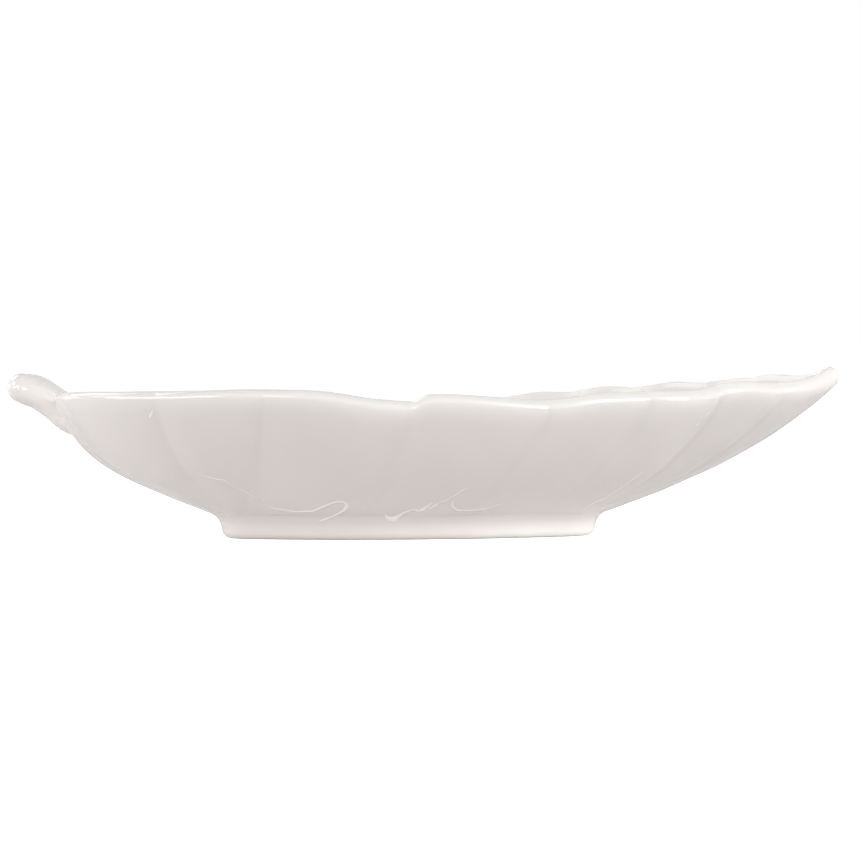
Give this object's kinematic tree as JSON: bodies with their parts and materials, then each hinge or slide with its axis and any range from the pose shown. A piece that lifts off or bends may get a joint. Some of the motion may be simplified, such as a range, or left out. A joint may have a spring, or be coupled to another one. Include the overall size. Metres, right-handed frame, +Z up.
{
  "type": "leaf shaped plate",
  "caption": "White glazed porcelain serving dish shaped like a broad leaf, with fluted lobes, a pointed tip, a stem handle and an oval foot ring.",
  "frame": {"origin": "on the table, under the middle of the dish's whole length and width", "axes": "+X from the stem handle to the leaf tip, +Z up from the table, +Y towards the side away from the picture's view"},
  "size_m": [0.3, 0.1577, 0.0601],
  "materials": {
    "glaze": "gloss",
    "foot_glaze": "gloss"
  },
  "bodies": {
    "root": {"leaf_shell": "glaze", "foot_ring": "foot_glaze", "stem_handle": "glaze"}
  },
  "joints": []
}
